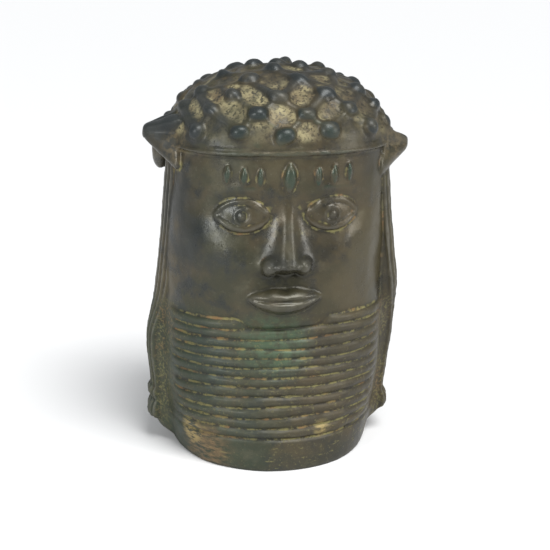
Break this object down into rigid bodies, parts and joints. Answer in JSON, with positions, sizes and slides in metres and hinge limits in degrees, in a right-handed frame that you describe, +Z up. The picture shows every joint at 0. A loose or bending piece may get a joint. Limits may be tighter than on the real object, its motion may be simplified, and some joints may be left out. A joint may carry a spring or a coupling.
{
  "type": "bronze commemorative head",
  "caption": "Cast bronze commemorative head with a domed beaded cap, side rosettes, hanging strands and a tall ringed collar, standing on its flat foot.",
  "frame": {"origin": "centre of the flat underside of the foot, on the axis of the neck", "axes": "+Z up, the face looks along -Y, and the head's own left is +X"},
  "size_m": [0.1806, 0.1725, 0.2669],
  "materials": {
    "bronze": "dark olive brown patina, waxed, with ochre dust in the recesses"
  },
  "bodies": {
    "root": {"bronze_head": "bronze"}
  },
  "joints": []
}
